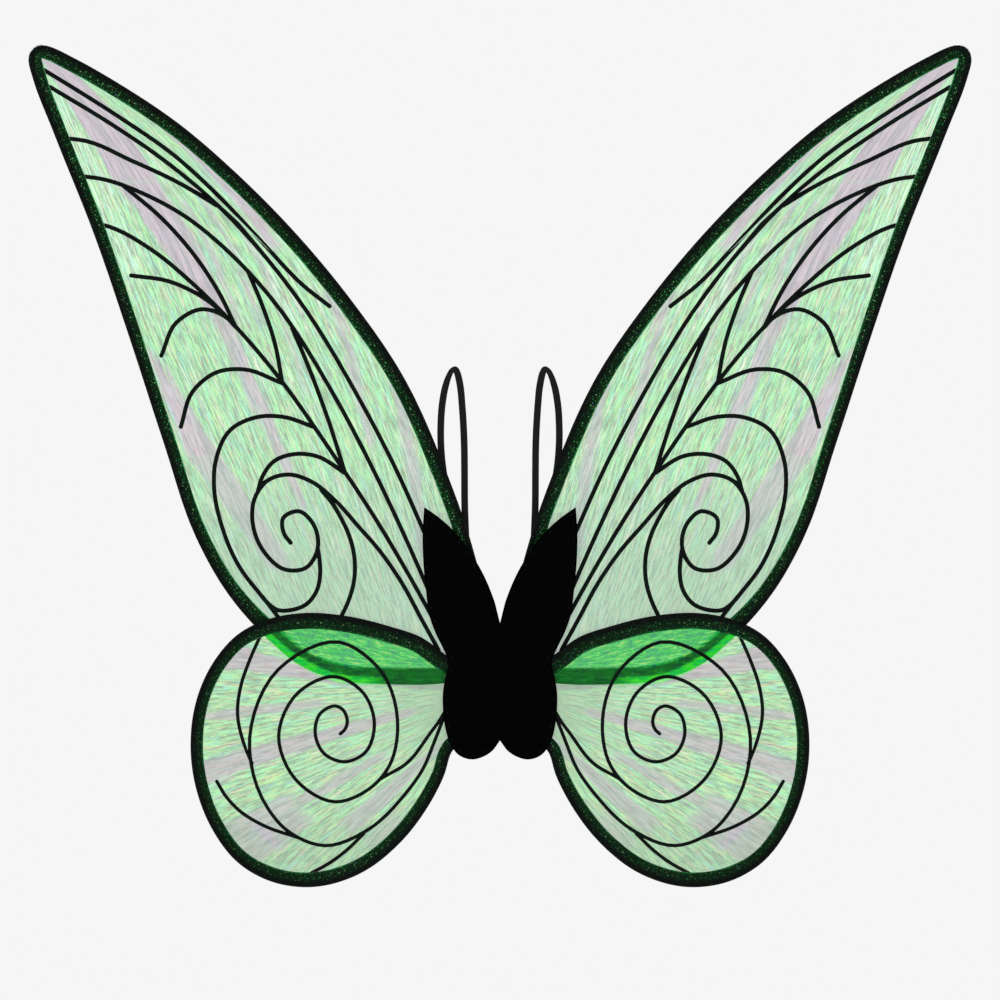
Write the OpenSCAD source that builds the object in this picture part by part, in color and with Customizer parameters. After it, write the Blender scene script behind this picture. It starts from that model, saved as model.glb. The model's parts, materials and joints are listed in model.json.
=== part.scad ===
// Fairy wings: two pairs of wire-framed film wings on a felt centre patch,
// with a sewn fold line down the middle and two elastic shoulder loops.
// X runs along the span, +Y faces the wearer's back, +Z is up.
// The origin is the middle of the centre seam, on its back face.

/* [Overall size] */
// Span from tip to tip
wing_span = 755; // [640:1:910]
// Height from the lowest edge to the tips
wing_height = 674; // [560:1:810]

/* [Wire frames] */
// Diameter of the frame wire
wire_d = 2; // [1.4:0.1:2.4]
// Length of a crimp sleeve
sleeve_len = 12; // [8:1:14]
// Wall of a crimp sleeve
sleeve_wall = 0.5; // [0.3:0.1:0.8]

/* [Ribbon borders] */
// Usual width of the folded ribbon
border_w = 11; // [8:0.5:13.5]
// Thickness of one ribbon layer
ribbon_t = 0.3; // [0.2:0.05:0.4]

/* [Film and veins] */
// Thickness of the wing film
film_t = 0.3; // [0.2:0.05:0.4]
// Height of a painted vein above the film
vein_t = 0.5; // [0.3:0.05:0.7]
// Width of the upper wing's veins
upper_vein_w = 3.4; // [2:0.1:4]
// Width of the lower wing's veins
lower_vein_w = 2.8; // [2:0.1:3.4]

/* [Centre patch] */
// Thickness of the felt covers
felt_t = 1.2; // [0.8:0.1:2]
// Thickness of the stiffener boards
board_t = 0.8; // [0.5:0.1:1.2]
// Distance from the middle to each fold line
fold_x = 3; // [2.6:0.1:4]
// Half width of the seam tape on the back
back_tape_x = 5; // [4:0.25:6]
// Distance from the middle to the back covers and boards
back_gap_x = 8; // [7.5:0.25:10]
// Length of one hand stitch
stitch_len = 4; // [3:0.5:5]
// Thickness of the stitching thread
thread_d = 0.6; // [0.4:0.1:0.8]

/* [Shoulder loops] */
// Width of the flat elastic
strap_w = 5.5; // [4:0.25:6.5]
// Thickness of the flat elastic
strap_t = 1; // [0.8:0.1:1.2]
// Length of elastic sewn to the back cover
tail_len = 17; // [12:1:22]
// Height of the sewn edge where a loop starts
strap_seam_z = 88; // [84:1:92]

/* [Hidden] */

// The outlines below are drawn at this size and scaled to the chosen one
drawn_span = 755;
drawn_height = 674;
scale_x = wing_span / drawn_span;
scale_z = wing_height / drawn_height;

// Clearances and small sizes
slot_gap = 0.1;          // wire to the ribbon round it, each side
layer_gap = 0.2;         // between one wing's border and the next layer
fold_gap = 0.2;          // fold line to the edge of a front cover
tape_gap = 0.8;          // front tape to the fold line
wire_end_gap = 1;        // between the wire's two ends in the sleeve
core_x = 1.5;            // half width of the web between the tapes
seam_half_z = 47;        // half height of the centre seam
board_inset = 6;         // cover edge to board edge
stitch_inset = 3;        // cover edge to the row of stitches
stitch_pitch = 11;       // from one stitch to the next
tack_w = 1.6;            // height of a bar tack
tack_gap = 10;           // between the two tacks on a tail
tack_t = 0.3;            // how far a tack stands off the elastic
tack_inset = 0.5;        // elastic's edge to the end of a tack
loop_gap = 0.1;          // loop to the sewn tails, in depth
loop_rise = 0.3;         // loop's lower edge above its hinge line
tail_drop = 0.6;         // sewn tails' upper edge below the hinge line
vein_web = 1.2;          // paint that fills a narrow fork, from each side
curve_steps = 5;         // points from one drawn point to the next on an outline
vein_steps = 6;          // the same on a vein
patch_steps = 3;         // the same on the patch and the loops
keep_share = 0.99;       // share of an inset that a point needs to be kept
turn_scale = 10;         // degrees of turn that weigh as one millimetre on a route
cut_over = 1;            // how far a cut runs past what it cuts
wire_sides = 8;
tube_sides = 32;
vein_end_sides = 12;

// Depths, from the wearer's side (y = 0) to the outer side
bead_t = wire_d + 2 * slot_gap + 2 * ribbon_t;
film_in = ribbon_t + 2 * slot_gap + wire_d;
wire_in = ribbon_t + slot_gap + wire_d / 2;
back_cover_y = -felt_t;
board_y = back_cover_y - board_t;
upper_y = board_y - 2 * layer_gap - bead_t / 2;
lower_y = upper_y - bead_t - 2 * layer_gap;
front_cover_y = lower_y - bead_t / 2 - 2 * layer_gap - felt_t;
fold_y = front_cover_y + felt_t / 2;

// Wing outlines, clockwise from the crimp sleeve, which sits on the straight
// stretch between the last point and the first: [x, z, ribbon width / border_w]
upper_outline = [
  [12.5, 64, 1], [12.5, 74, 1], [17, 90, 1],
  [24.7, 117, 1], [43.7, 170, 1.04], [76, 242, 1.04], [120, 306.6, 1.04], [167, 362.7, 1.04],
  [210.5, 406.4, 1.02], [256, 445.7, 1.02], [302.5, 477, 1.02], [343, 500, 1.02], [359, 507.6, 1],
  [368, 509.7, 1], [375, 505.8, 1], [377.5, 498, 1], [375, 487, 1], [357, 439, 0.95],
  [325.5, 360, 0.93], [295.9, 273.6, 0.91], [269, 191, 0.91], [242.4, 113.6, 0.93], [217.5, 70, 1],
  [184, 32.5, 1.2], [158, 11.8, 1.2], [128, 1.4, 1.2], [87, -2.2, 1.2], [44.7, -1.4, 1.2],
  [22, 3, 1.1], [12.5, 22, 1], [12.5, 36, 1]
];
lower_outline = [
  [13, -6, 1], [13, 0, 1], [24, 9.5, 1.1],
  [42.4, 20.8, 1.18], [62.7, 35.6, 1.18], [87, 44, 1.18], [125, 53, 1.18], [158, 55, 1.16],
  [186, 49.9, 1.1], [209, 38.5, 1], [229, 16, 0.93], [242, -12, 0.91], [247.4, -54.4, 0.91],
  [243, -85.6, 0.91], [229, -120, 0.93], [210, -144.4, 0.96], [184, -159.5, 1.05], [150, -164.3, 1.08],
  [112, -153.6, 1.05], [79, -128, 1], [57.6, -100, 0.95], [44, -73.5, 0.9], [37.5, -54, 0.9],
  [25, -46, 0.9], [13, -34, 0.9], [13, -26, 0.9]
];

// One half of the butterfly-shaped patch, clockwise from the top notch
patch_outline = [
  [0, 47], [1.8, 55.8], [6.2, 69.4], [13, 85.2], [21.9, 100.8], [35.4, 119], [48.9, 131.4], [60.6, 139.6]
];
patch_outer_edge = [
  [60.6, 139.6], [61.9, 116.5], [61.2, 94], [59, 71.6], [56.7, 53.6], [51.1, 37.9], [44.4, 24.4], [41, 15],
  [43.3, 5], [45.6, -8], [45.6, -22], [43.9, -36.2], [39.9, -49.6], [33.1, -58.6], [23, -62.2],
  [13, -59.8], [6.2, -55.3], [0, -47.7]
];

// Upper wing's veins: long ribs from the patch, then the curls between them
upper_ribs = [
  [[364.5, 489], [344, 476.5], [303, 450.5], [261, 421.2], [226, 389.3], [190.5, 351.7], [157.1, 316.6],
   [136.3, 300.2]],
  [[359.8, 475.5], [313.5, 447.5], [268, 416.4], [226.6, 381.7], [190.8, 343.5], [154.5, 296], [114.5, 229.6],
   [85.4, 174.4], [56, 109]],
  [[349, 434.8], [330.6, 432.2], [295.9, 417.2], [256, 398.4], [226, 380.4]],
  [[338, 404.6], [316.7, 401.6], [287, 391], [252, 372.2], [217.4, 344], [183.7, 307.6], [133, 229.5],
   [104.6, 176], [75, 113.6], [55, 68]],
  [[301, 396.4], [271, 371], [243.5, 339.8], [223, 307.9], [211.6, 284.2]],
  [[324.2, 366.8], [312, 363.6], [278.6, 345.3], [243.9, 316.6], [211.6, 284.2], [182.4, 250.3], [135, 184],
   [123.7, 167.2], [114.2, 153], [97.8, 127.4], [74, 87.2], [50, 44]],
  [[201, 326.8], [190.8, 302.7], [179.9, 269.9], [174, 238.5]],
  [[166.2, 282.7], [152.2, 249.4], [136.7, 207.4], [124.4, 168.8]]
];
upper_curls = [
  [[295, 324.8], [264.7, 320.1], [238.7, 308], [216.8, 291.2]],
  [[270.8, 260.7], [258.8, 287.1], [238.7, 297.8], [217.5, 290.1], [211.4, 283.4]],
  [[255.2, 203.8], [245.8, 231.9], [226, 247.6], [204.8, 249.7], [174, 238.6]],
  [[148.2, 203.4], [173.4, 211.7], [194, 211.6], [215.4, 201.5], [227.4, 176.1], [228.6, 155], [222.6, 124.9],
   [208, 91.2], [193.3, 71.8], [186.4, 63.6], [178, 57.4], [167, 57.3], [154.6, 62.1], [146.1, 73.8],
   [143.8, 86.4], [144.3, 97.6], [145.8, 107]],
  [[190, 68], [181.6, 57.2], [173, 46]],
  [[122.8, 166], [147.6, 180.6], [164, 182], [180.8, 176.2], [190.3, 163.3], [193.7, 151.8]],
  [[49, 25], [62.3, 49.1], [78.1, 78.3], [97, 105.6], [113.8, 124.8], [132.4, 145.4], [151.6, 160.4],
   [169, 165.6], [185.6, 161], [196, 147], [197.8, 127], [188.4, 103.4], [171.8, 89.6], [155.2, 91],
   [145.9, 106], [149.2, 125.8], [161, 136.3], [173.4, 130.8], [172.6, 118.2], [167.4, 111]],
  [[143, 153.4], [135, 143.7], [126.8, 130.1], [120.6, 116.7], [116.8, 102], [116, 89.6], [117.2, 78],
   [120.8, 65.6], [130, 46]]
];

// Lower wing's veins: one spiral through its turning points, then the ribs
lower_spiral = [
  [127.6, -41.6], [124.2, -38.4], [122.1, -32.8], [122.9, -27.2], [125.6, -22.4], [130.4, -19.6],
  [143.4, -25.1], [147.8, -40], [140.3, -57.7], [124.3, -64], [107.7, -56.5], [100.4, -35], [109.5, -8.7],
  [131, 4], [160.6, -8], [176.9, -43], [163.4, -78.1], [131, -96], [106.4, -86.9], [97, -79], [88.5, -67.2],
  [81.8, -38], [94.2, 7.2], [128, 31.6], [177, 10], [200.1, -45], [185.4, -101.5], [172, -117.4],
  [140, -131], [106.3, -118.8], [76.1, -90.1], [61.1, -68.8], [53.2, -49.8], [48.6, -38], [44, -26]
];
lower_ribs = [
  [[94.9, -77.2], [74.7, -65.2], [55.2, -40.3], [49.6, -32.8], [43, -22]],
  [[191, 38], [201, 15], [207.2, -3.6], [209.8, -25], [204.8, -49.3], [198.2, -65.5]],
  [[226.4, -79.6], [219.5, -91], [209.5, -102], [188, -115.4], [162, -124.4]],
  [[109, -121.4], [120.8, -133], [131.8, -141.9], [154.5, -155]]
];

// Route of the shoulder loop's middle: [x, z, turn of the band in degrees]
loop_route = [
  [34, 88.3, 0], [34, 100, 0], [35, 116, 0], [37, 132, 0], [40.4, 146, 0], [44.6, 164, 0], [47, 184, 0],
  [47.4, 204, 0], [46.2, 222, 8], [43.4, 237, 24], [40.8, 244.6, 40], [38.6, 248.6, 46], [36, 250, 40],
  [34.2, 247, 26], [33, 242.6, 14], [31.6, 235, 5], [30.4, 222, 0], [29.2, 204, 0], [28.6, 188, 0],
  [28.4, 170, 0], [28.2, 140, 0], [27.2, 114, 0], [26.6, 100, 0], [26.6, 88.3, 0]
];
tail_x = [26.6, 34];

// Points of a smooth curve: each drawn point's tangent weighs its two spans
function tangent(a, b, c) = let(d1 = norm(b - a), d2 = norm(c - b))
  ((b - a) * d2 / d1 + (c - b) * d1 / d2) / (d1 + d2);
function hermite(b, c, mb, mc, t) = let(t2 = t * t, t3 = t2 * t)
  (2 * t3 - 3 * t2 + 1) * b + (t3 - 2 * t2 + t) * mb + (3 * t2 - 2 * t3) * c + (t3 - t2) * mc;
function span_point(a, b, c, d, t) = let(len = norm(c - b))
  hermite(b, c, tangent(a, b, c) * len, tangent(b, c, d) * len, t);
function closed_curve(p) = let(n = len(p))
  [for (i = [0:n - 1], k = [0:curve_steps - 1])
    span_point(p[(i + n - 1) % n], p[i], p[(i + 1) % n], p[(i + 2) % n], k / curve_steps)];
function before_first(p) = 2 * p[0] - p[1];
function after_last(p) = let(n = len(p)) 2 * p[n - 1] - p[n - 2];
function open_curve(p, steps) = let(n = len(p), q = concat([before_first(p)], p, [after_last(p)]))
  concat([for (i = [0:n - 2], k = [0:steps - 1]) span_point(q[i], q[i + 1], q[i + 2], q[i + 3], k / steps)],
    [p[n - 1]]);

// Drawn points at the chosen size; a third value is kept
function sized(p) = [for (q = p) len(q) > 2
  ? [q.x * scale_x, q.y * scale_z, q.z] : [q.x * scale_x, q.y * scale_z]];
function flat2(p) = [for (q = p) [q.x, q.y]];

// A closed clockwise curve moved inward, less the points that cross over
function inward(p, i) = let(n = len(p), d = p[(i + 1) % n] - p[(i + n - 1) % n]) [d.y, -d.x] / norm(d);
function nearest(p, q) = min([for (r = p) norm(r - q)]);
function moved_in(p, dist) = [for (i = [0:len(p) - 1]) p[i] + inward(p, i) * dist[i]];
function inset(p, dist) = let(m = moved_in(p, dist))
  [for (i = [0:len(p) - 1]) if (nearest(p, m[i]) > dist[i] * keep_share) m[i]];
function inset_by(p, d) = inset(p, [for (q = p) d]);

upper_curve = closed_curve(sized(upper_outline));
lower_curve = closed_curve(sized(lower_outline));
upper_edge = flat2(upper_curve);
lower_edge = flat2(lower_curve);
upper_inner = inset(upper_edge, [for (q = upper_curve) q.z * border_w]);
lower_inner = inset(lower_edge, [for (q = lower_curve) q.z * border_w]);
patch_inner_run = open_curve(sized(patch_outline), patch_steps);
patch_outer_run = open_curve(sized(patch_outer_edge), patch_steps);
patch_edge = concat(patch_inner_run, [for (i = [1:len(patch_outer_run) - 1]) patch_outer_run[i]]);

// Sweep of closed cross-sections into one solid with flat ends
module swept(rings) {
  n = len(rings);
  m = len(rings[0]);
  points = [for (ring = rings, q = ring) q];
  sides = [for (i = [0:n - 2], j = [0:m - 1], half = [0, 1])
    let(a = i * m + j, b = i * m + (j + 1) % m, c = b + m, d = a + m) half == 0 ? [a, b, c] : [a, c, d]];
  first_end = [for (j = [0:m - 1]) m - 1 - j];
  last_end = [for (j = [0:m - 1]) (n - 1) * m + j];
  polyhedron(points, concat([first_end, last_end], sides), convexity = 6);
}

// A flat shape drawn in x and z, from depth y towards the outer side
module plate(y, thickness) {
  translate([0, y, 0]) rotate([90, 0, 0]) linear_extrude(thickness) children();
}

// The left half is the mirror image of the right half
module sided(side) {
  if (side == "left") mirror([1, 0, 0]) children();
  else children();
}

// A closed curve without the stretch from its last drawn point to its first
function opened(p) = [for (i = [0:len(p) - curve_steps]) p[i]];
function reversed(p) = [for (i = [len(p) - 1:-1:0]) p[i]];
function root_z(p) = (p[0].y + p[len(p) - curve_steps].y) / 2;

// Wire frame: one bent wire whose ends meet inside the crimp sleeve
function wire_path(edge) =
  let(run = opened(inset_by(edge, wire_in)), x = run[0].x, z = root_z(edge), half_gap = wire_end_gap / 2)
  concat([[x, z + half_gap]], run, [[x, z - half_gap]]);
function wire_ring(p, i, y) =
  let(a = p[max(i - 1, 0)], b = p[min(i + 1, len(p) - 1)], d = (b - a) / norm(b - a), r = wire_d / 2)
  [for (k = [0:wire_sides - 1]) let(s = k * 360 / wire_sides)
    [p[i].x + r * cos(s) * d.y, y + r * sin(s), p[i].y - r * cos(s) * d.x]];
module wire_frame(edge, y) {
  path = wire_path(edge);
  swept([for (i = [0:len(path) - 1]) wire_ring(path, i, y)]);
}
module crimp_sleeve(edge, y) {
  translate([edge[0].x + wire_in, y, root_z(edge) - sleeve_len / 2]) difference() {
    cylinder(d = wire_d + 2 * sleeve_wall, h = sleeve_len, $fn = tube_sides);
    translate([0, 0, -cut_over]) cylinder(d = wire_d, h = sleeve_len + 2 * cut_over, $fn = tube_sides);
  }
}

// Folded ribbon: a band round the outside of the wire and a layer on each
// side of the film, all left open where the crimp sleeve sits
module ribbon_strip(outer, inner) {
  polygon(concat(opened(outer), reversed(opened(inner))));
}
module binding(edge, inner, y) {
  plate(y + bead_t / 2, bead_t) ribbon_strip(edge, inset_by(edge, ribbon_t));
  plate(y + film_t / 2 + ribbon_t, ribbon_t) ribbon_strip(inset_by(edge, film_in), inner);
  plate(y - film_t / 2, ribbon_t) ribbon_strip(inset_by(edge, film_in), inner);
}
// Film panel, notched where the crimp sleeve sits against its edge
function notch(p) =
  let(x = p[0].x, z = root_z(p), half = sleeve_len / 2 + layer_gap, deep = sleeve_wall + layer_gap)
  [[x, z - half], [x + deep, z - half], [x + deep, z + half], [x, z + half]];
module film(edge, y) {
  panel = inset_by(edge, film_in);
  plate(y + film_t / 2, film_t) polygon(concat(opened(panel), notch(panel)));
}

// Veins: tapered strokes joined with small webs, kept inside the border
function stroke(p, w) = let(n = len(p),
  side = [for (i = [0:n - 1]) let(d = p[min(i + 1, n - 1)] - p[max(i - 1, 0)]) [d.y, -d.x] * w / 2 / norm(d)])
  concat([for (i = [0:n - 1]) p[i] + side[i]], [for (i = [n - 1:-1:0]) p[i] - side[i]]);
module strokes(routes, w) {
  for (route = routes) {
    run = open_curve(sized(route), vein_steps);
    polygon(stroke(run, w));
    translate(run[len(run) - 1]) circle(d = w, $fn = vein_end_sides);
    translate(run[0]) circle(d = w, $fn = vein_end_sides);
  }
}
module veins(inner, y) {
  plate(y - film_t / 2, vein_t) offset(delta = -vein_web) intersection() {
    offset(delta = vein_web) children();
    offset(delta = vein_web) polygon(inset_by(inner, slot_gap));
  }
}

// Felt covers, the board between them and the stitches round their edge
module patch_half(from_x) {
  intersection() {
    polygon(patch_edge);
    translate([from_x, -wing_height]) square([wing_span, 2 * wing_height]);
  }
}
module stitches(y, thickness) {
  run = inset_by(patch_edge, stitch_inset);
  lengths = [for (i = 0, s = 0; i < len(run); s = s + norm(run[(i + 1) % len(run)] - run[i]), i = i + 1) s];
  total = lengths[len(run) - 1];
  for (s = [stitch_pitch / 2 : stitch_pitch : total]) {
    i = max([for (k = [0:len(run) - 2]) if (lengths[k] <= s) k]);
    a = run[i];
    b = run[i + 1];
    at = a + (b - a) * (s - lengths[i]) / norm(b - a);
    turn = atan2(b.y - a.y, b.x - a.x);
    if (at.x > back_gap_x + stitch_len / 2)
      translate([at.x, y, at.y]) rotate([0, -turn, 0]) translate([-stitch_len / 2, 0, -thread_d / 2])
        cube([stitch_len, thickness, thread_d]);
  }
}

// Shoulder loop: flat elastic that leans over at its pointed top
function band_ring(p, i, y) =
  let(a = p[max(i - 1, 0)], b = p[min(i + 1, len(p) - 1)], step = [b.x - a.x, b.y - a.y], d = step / norm(step),
    c = cos(p[i].z), s = sin(p[i].z), w = strap_w / 2, t = strap_t / 2)
  [for (q = [[-w, -t], [w, -t], [w, t], [-w, t]]) let(across = q[0] * c - q[1] * s, deep = q[0] * s + q[1] * c)
    [p[i].x + across * d.y, y + deep, p[i].y - across * d.x]];
loop_y = strap_t + loop_gap + strap_t / 2;
seam_edge_z = strap_seam_z * scale_z;
tail_top_z = seam_edge_z - tail_drop;
loop_shift = seam_edge_z + loop_rise - loop_route[0].y;
module shoulder_loop() {
  path = open_curve([for (q = loop_route) [q.x, q.y + loop_shift, q.z / turn_scale]], patch_steps);
  run = [for (q = path) [q.x, q.y, q.z * turn_scale]];
  swept([for (i = [0:len(run) - 1]) band_ring(run, i, loop_y)]);
}

module part_front_cover(side) color("#0a0a0a") sided(side) plate(front_cover_y + felt_t, felt_t)
  patch_half(fold_x + fold_gap);
module part_back_cover(side) color("#101010") sided(side) plate(0, felt_t) patch_half(back_gap_x);
module part_root_board(side) color("#404040") sided(side) plate(back_cover_y, board_t) intersection() {
  polygon(inset_by(patch_edge, board_inset));
  translate([back_gap_x, -wing_height]) square([wing_span, 2 * wing_height]);
}
module part_cover_stitching(side) color("#1c1c1c") sided(side) {
  stitches(front_cover_y - thread_d / 2, thread_d / 2);
  stitches(0, thread_d / 2);
}
module part_upper_wire(side) color("#909498") sided(side) wire_frame(upper_edge, upper_y);
module part_lower_wire(side) color("#909498") sided(side) wire_frame(lower_edge, lower_y);
module part_upper_sleeve(side) color("#b0b4b8") sided(side) crimp_sleeve(upper_edge, upper_y);
module part_lower_sleeve(side) color("#b0b4b8") sided(side) crimp_sleeve(lower_edge, lower_y);
module part_upper_binding(side) color("#101512") sided(side) binding(upper_edge, upper_inner, upper_y);
module part_lower_binding(side) color("#101512") sided(side) binding(lower_edge, lower_inner, lower_y);
module part_upper_film(side) color("#b9f0c0", 0.6) sided(side) film(upper_edge, upper_y);
module part_lower_film(side) color("#b9f0c0", 0.6) sided(side) film(lower_edge, lower_y);
module part_upper_veins(side) color("#101010") sided(side) veins(upper_inner, upper_y) {
  strokes(concat(upper_ribs, upper_curls), upper_vein_w);
}
module part_lower_veins(side) color("#101010") sided(side) veins(lower_inner, lower_y) {
  strokes(concat([lower_spiral], lower_ribs), lower_vein_w);
}
module part_strap_tails(side) color("#1a1a1a") sided(side) for (x = tail_x)
  translate([x - strap_w / 2, 0, tail_top_z - tail_len]) cube([strap_w, strap_t, tail_len]);
module part_strap_tacks(side) color("#2a2a2a") sided(side) for (x = tail_x, k = [-1, 1])
  translate([x - strap_w / 2 + tack_inset, strap_t, tail_top_z - tail_len / 2 + k * tack_gap / 2 - tack_w / 2])
    cube([strap_w - 2 * tack_inset, tack_t, tack_w]);
module part_shoulder_loop(side) color("#1a1a1a") sided(side) shoulder_loop();

// The sewn seam between the halves: a tape on each face and a web between
module seam_strip(y, thickness, half_x) {
  translate([-half_x, y, -seam_half_z * scale_z]) cube([2 * half_x, thickness, 2 * seam_half_z * scale_z]);
}
module seam_front_tape() color("#0a0a0a") seam_strip(front_cover_y, felt_t, fold_x - tape_gap);
module seam_core() color("#202020")
  seam_strip(front_cover_y + felt_t, back_cover_y - front_cover_y - felt_t, core_x);
module seam_back_tape() color("#101010") seam_strip(back_cover_y, felt_t, back_tape_x);

module half_part(side, name) {
  if (name == "front_cover") part_front_cover(side);
  if (name == "back_cover") part_back_cover(side);
  if (name == "root_board") part_root_board(side);
  if (name == "cover_stitching") part_cover_stitching(side);
  if (name == "upper_wire") part_upper_wire(side);
  if (name == "upper_sleeve") part_upper_sleeve(side);
  if (name == "upper_binding") part_upper_binding(side);
  if (name == "upper_film") part_upper_film(side);
  if (name == "upper_veins") part_upper_veins(side);
  if (name == "lower_wire") part_lower_wire(side);
  if (name == "lower_sleeve") part_lower_sleeve(side);
  if (name == "lower_binding") part_lower_binding(side);
  if (name == "lower_film") part_lower_film(side);
  if (name == "lower_veins") part_lower_veins(side);
  if (name == "strap_tails") part_strap_tails(side);
  if (name == "strap_tacks") part_strap_tacks(side);
  if (name == "shoulder_loop") part_shoulder_loop(side);
}
HALF_PARTS = [
  "front_cover", "back_cover", "root_board", "cover_stitching", "upper_wire", "upper_sleeve", "upper_binding",
  "upper_film", "upper_veins", "lower_wire", "lower_sleeve", "lower_binding", "lower_film", "lower_veins",
  "strap_tails", "strap_tacks", "shoulder_loop"
];

seam_front_tape();
seam_core();
seam_back_tape();
for (side = ["left", "right"], name = HALF_PARTS)
  half_part(side, name);
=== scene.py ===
import json
import math
import bisect

import bmesh
import bpy
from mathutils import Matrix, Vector, noise


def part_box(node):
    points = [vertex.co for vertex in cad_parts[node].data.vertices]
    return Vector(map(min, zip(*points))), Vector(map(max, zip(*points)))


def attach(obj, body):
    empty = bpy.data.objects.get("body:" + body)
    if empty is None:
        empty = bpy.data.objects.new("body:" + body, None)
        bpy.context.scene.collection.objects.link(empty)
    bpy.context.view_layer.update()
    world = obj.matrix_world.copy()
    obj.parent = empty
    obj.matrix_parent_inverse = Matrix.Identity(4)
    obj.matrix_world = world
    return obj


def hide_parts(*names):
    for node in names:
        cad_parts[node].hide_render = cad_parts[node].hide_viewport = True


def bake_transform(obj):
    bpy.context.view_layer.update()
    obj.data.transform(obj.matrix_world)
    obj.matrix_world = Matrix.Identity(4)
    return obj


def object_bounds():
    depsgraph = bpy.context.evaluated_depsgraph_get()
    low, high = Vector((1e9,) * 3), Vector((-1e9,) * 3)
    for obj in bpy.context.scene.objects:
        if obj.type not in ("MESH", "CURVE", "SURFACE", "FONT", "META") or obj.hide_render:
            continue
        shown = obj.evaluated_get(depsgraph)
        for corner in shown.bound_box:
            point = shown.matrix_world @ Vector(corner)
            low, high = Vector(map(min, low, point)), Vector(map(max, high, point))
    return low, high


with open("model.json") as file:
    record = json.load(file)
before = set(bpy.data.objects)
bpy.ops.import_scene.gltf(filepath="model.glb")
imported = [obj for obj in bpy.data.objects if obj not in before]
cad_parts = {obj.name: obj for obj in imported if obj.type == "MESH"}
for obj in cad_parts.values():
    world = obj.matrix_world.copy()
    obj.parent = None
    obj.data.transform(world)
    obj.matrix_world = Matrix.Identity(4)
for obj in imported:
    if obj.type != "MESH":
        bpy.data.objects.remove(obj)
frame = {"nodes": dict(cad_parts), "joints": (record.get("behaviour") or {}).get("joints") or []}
cad_low, cad_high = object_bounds()

# ---------------------------------------------------------------- sizes, in metres
MM = 0.001
SIDES = ("left", "right")
WINGS = ("upper", "lower")
SIGN = {"left": -1.0, "right": 1.0}

VIEW_WIDTH = 0.8                 # width of the camera's view at the wings
CAMERA_DISTANCE = 8.0
SENSOR_MM = 36.0
VIEW_CENTRE_BELOW_TIPS = 0.3645  # from the highest point down to the view's middle

PAPER = 0.92                     # linear brightness of the backdrop
FLOOR_HALF = 3.0                 # from the floor's middle to its edges
FLOOR_DROP = 0.55                # from the lowest point down to the floor

RIM_STEP = 3.2 * MM              # spacing of the points round a film's rim
FILM_STEP = 7.0 * MM             # size of a film mesh cell
FILM_ALPHA = 0.58                # how much of what is behind it the film hides
STIFF_EDGE = 8.0 * MM            # width along its rim where the film is held flat
SLACK_IN = 22.0 * MM             # distance over which the slack folds grow from there

RIBBON_OUT = 2.5 * MM            # from the film's rim out to the ribbon's fold
BEAD_R = 1.45 * MM               # half thickness of the ribbon over the wire
BEAD_END = 3.2 * MM              # from the ribbon's fold in to where it lies flat
BEAD_TURNS = range(-120, 121, 30)  # degrees round the wire
RIM_UV = 12.0 * MM               # texture distance from the ribbon's fold to its inner edge
RIPPLE = 0.05 * MM               # how much the ribbon's faces ripple along it
# The flat part of the ribbon: [share of the way from the bead to the inner edge, half thickness in mm]
RIBBON_FLAT = [(1.0, 0.22), (0.965, 0.5), (0.55, 0.54), (0.12, 0.62)]

VEIN_SLOPE = 0.55 * MM           # width of a painted vein's sloping edge
VEIN_TOP = 0.42 * MM             # heights over the middle of the film
VEIN_EDGE = 0.2 * MM
VEIN_FOOT = -0.05 * MM

FELT_EDGE_STEP = 2.5 * MM        # spacing of the points round a cover
FELT_STEP = 3.0 * MM             # size of a cover's mesh cell
FELT_SWELL = {"front": 1.6 * MM, "back": 0.5 * MM}

TAIL_PITCH = 7.4 * MM            # from the middle of one sewn tail to the next
TAIL_BELOW = 1.2 * MM            # from the loop's seam down to the top of the flat tails
TAIL_STEPS = 6
LOOP_STEPS = 6
TURN_UNIT = 0.0001               # what one degree of the band's turn is in its route's third coordinate


# ---------------------------------------------------------------- small helpers
def lin(c):
    """A colour from sRGB, 0-255, to linear."""
    return tuple((v / 255 / 12.92) if v <= 10 else ((v / 255 + 0.055) / 1.055) ** 2.4 for v in c)


def node_box(name):
    low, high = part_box(name)
    return Vector(low), Vector(high)


def link_object(name, data):
    obj = bpy.data.objects.new(name, data)
    bpy.context.scene.collection.objects.link(obj)
    return obj


def object_from(bm, name):
    """Turns a bmesh into an object, and frees it."""
    mesh = bpy.data.meshes.new(name)
    bm.to_mesh(mesh)
    bm.free()
    for poly in mesh.polygons:
        poly.use_smooth = True
    return link_object(name, mesh)


def new_object(name, verts, faces, uvs=None):
    mesh = bpy.data.meshes.new(name)
    mesh.from_pydata([tuple(v) for v in verts], [], faces)
    mesh.validate()
    if uvs is not None:
        layer = mesh.uv_layers.new(name="UVMap")
        for loop in mesh.loops:
            layer.data[loop.index].uv = uvs[loop.vertex_index]
    for poly in mesh.polygons:
        poly.use_smooth = True
    mesh.update()
    return link_object(name, mesh)


def recalc_normals(obj):
    bm = bmesh.new()
    bm.from_mesh(obj.data)
    bmesh.ops.recalc_face_normals(bm, faces=bm.faces)
    bm.to_mesh(obj.data)
    bm.free()


def tube_faces(rings, sides, base=0, closed=False):
    """The faces that join each ring of points to the next. An open tube gets a cap at both ends."""
    faces = []
    for i in range(rings if closed else rings - 1):
        here = base + i * sides
        ahead = base + (i + 1) % rings * sides
        for k in range(sides):
            after = (k + 1) % sides
            faces.append((here + k, here + after, ahead + after, ahead + k))
    if not closed:
        last = base + (rings - 1) * sides
        faces.append(tuple(range(base, base + sides)))
        faces.append(tuple(reversed(range(last, last + sides))))
    return faces


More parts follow.
